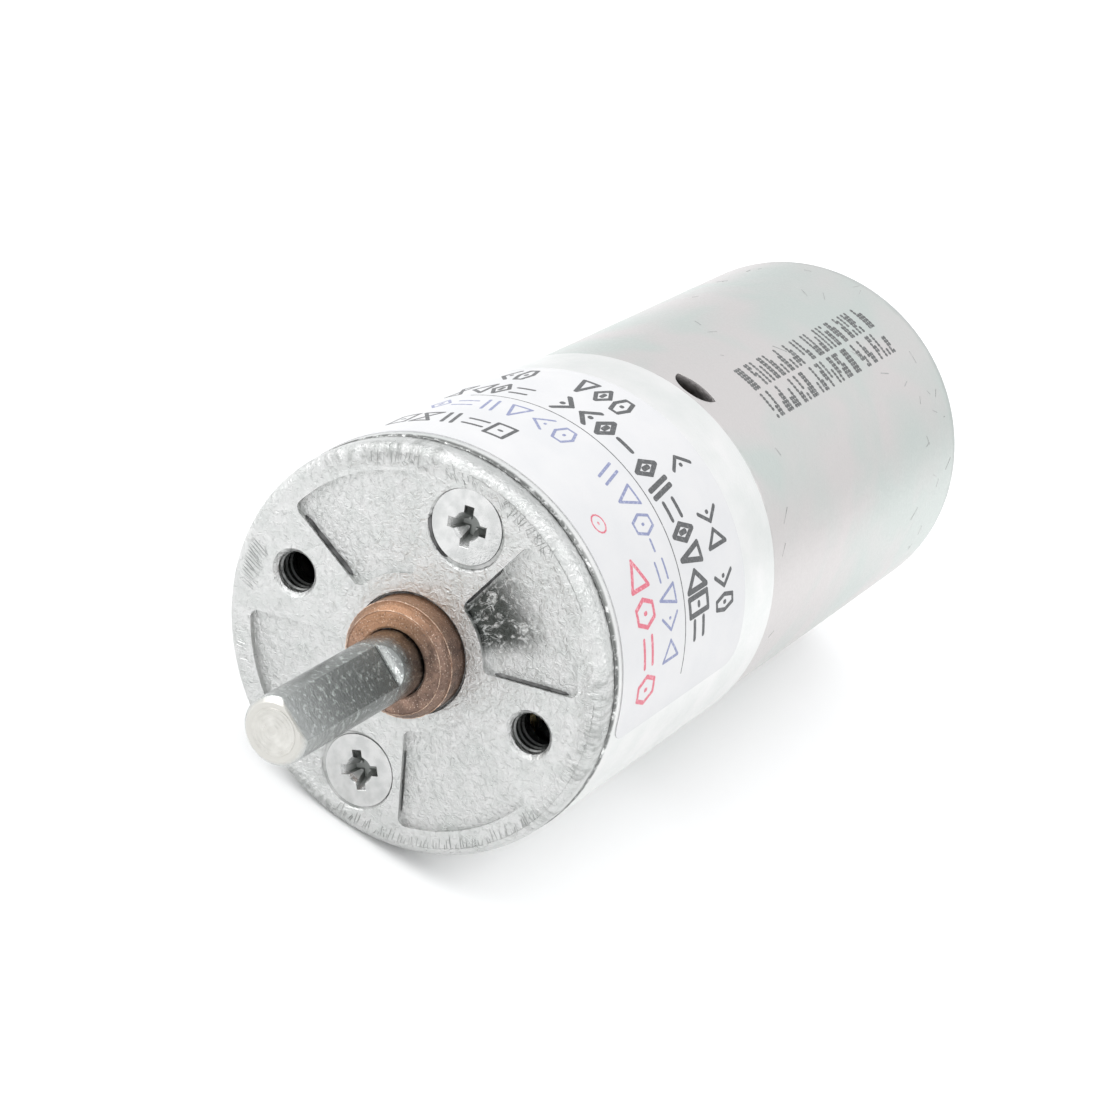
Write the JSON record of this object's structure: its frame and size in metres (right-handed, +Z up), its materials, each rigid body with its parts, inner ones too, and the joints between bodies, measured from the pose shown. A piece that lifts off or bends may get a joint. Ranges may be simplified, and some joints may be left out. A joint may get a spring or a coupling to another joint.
{
  "type": "geared dc motor",
  "caption": "Round geared DC motor with a D-flat output shaft in a bronze bush, two tapped face holes, a spur gear train and a brushed motor can with solder tabs.",
  "frame": {"origin": "centre of the gearbox's mounting face, on the output shaft's axis", "axes": "-Y along the output shaft, out of the mounting face; +X through one of the two mounting holes; +Z up through the upper cover screw and the middle of the label, as the motor lies on its side"},
  "size_m": [0.025, 0.0735, 0.0249],
  "materials": {
    "cast_zinc": "bright nickel-plated zinc casting, fine cast grain",
    "plated_can": "satin zinc-plated drawn steel",
    "sintered_bronze": "oil-filled sintered bronze, speckled",
    "ground_steel": "ground steel",
    "gear_steel": "sintered and cut steel, oiled",
    "screw_zinc": "bright zinc plate",
    "spring_steel": "blank spring steel",
    "core_steel": "stacked silicon steel",
    "ferrite": "dull black ferrite",
    "brass": "machined brass",
    "copper_bar": "turned copper",
    "copper_wire": "enamelled copper wire",
    "spring_bronze": "phosphor bronze strip",
    "terminal_brass": "tinned brass",
    "insulator": "green fibre",
    "moulding_brown": "phenolic moulding",
    "ceramic_dark": "sintered ceramic",
    "white_plastic": "natural nylon",
    "carbon": "copper-graphite",
    "label_paper": "white satin paper"
  },
  "bodies": {
    "housing": {"front_plate": "cast_zinc", "gear_case": "cast_zinc", "output_bush": "sintered_bronze", "gear_pins": "ground_steel", "pin_spacers": "brass", "cover_screws": "screw_zinc", "motor_screws": "screw_zinc", "motor_can": "plated_can", "field_magnets": "ferrite", "magnet_springs": "spring_steel", "front_bearing": "sintered_bronze", "brush_holder": "white_plastic", "brush_springs": "spring_bronze", "carbon_brushes": "carbon", "terminals": "terminal_brass", "rear_bearing": "sintered_bronze", "end_plate": "plated_can", "ratings_label": "label_paper"},
    "output": {"output_shaft": "ground_steel", "thrust_washer": "ground_steel", "output_gear": "gear_steel"},
    "gear_1": {"reduction_gear_1": "gear_steel"},
    "gear_2": {"reduction_gear_2": "gear_steel"},
    "gear_3": {"reduction_gear_3": "gear_steel"},
    "gear_4": {"reduction_gear_4": "gear_steel"},
    "gear_5": {"reduction_gear_5": "gear_steel"},
    "rotor": {"motor_pinion": "brass", "motor_shaft": "ground_steel", "armature_core": "core_steel", "armature_insulators": "insulator", "armature_windings": "copper_wire", "commutator_hub": "moulding_brown", "commutator_segments": "copper_bar", "varistor_ring": "ceramic_dark", "rotor_washers": "white_plastic"}
  },
  "joints": [
    {"name": "output_spin", "type": "hinge", "parent": "housing", "child": "output", "pos_m": [0, -0.008, 0], "axis": [0, -1, 0], "continuous": true},
    {"name": "rotor_spin", "type": "hinge", "parent": "housing", "child": "rotor", "pos_m": [0, 0.035, 0], "axis": [0, -1, 0], "continuous": true},
    {"name": "gear_1_spin", "type": "hinge", "parent": "housing", "child": "gear_1", "pos_m": [0.00554, 0.0178, 0.0032], "axis": [0, -1, 0], "continuous": true},
    {"name": "gear_2_spin", "type": "hinge", "parent": "housing", "child": "gear_2", "pos_m": [0.00554, 0.0148, -0.0032], "axis": [0, -1, 0], "continuous": true},
    {"name": "gear_3_spin", "type": "hinge", "parent": "housing", "child": "gear_3", "pos_m": [0.00554, 0.0118, 0.0032], "axis": [0, -1, 0], "continuous": true},
    {"name": "gear_4_spin", "type": "hinge", "parent": "housing", "child": "gear_4", "pos_m": [0.00554, 0.0088, -0.0032], "axis": [0, -1, 0], "continuous": true},
    {"name": "gear_5_spin", "type": "hinge", "parent": "housing", "child": "gear_5", "pos_m": [0.00554, 0.0058, 0.0032], "axis": [0, -1, 0], "continuous": true}
  ],
  "couplings": [
    {"joint": "rotor_spin", "follows": "output_spin", "ratio": 98.388},
    {"joint": "gear_1_spin", "follows": "output_spin", "ratio": -44.722},
    {"joint": "gear_2_spin", "follows": "output_spin", "ratio": 20.328},
    {"joint": "gear_3_spin", "follows": "output_spin", "ratio": -9.24},
    {"joint": "gear_4_spin", "follows": "output_spin", "ratio": 4.2},
    {"joint": "gear_5_spin", "follows": "output_spin", "ratio": -1.9091}
  ]
}
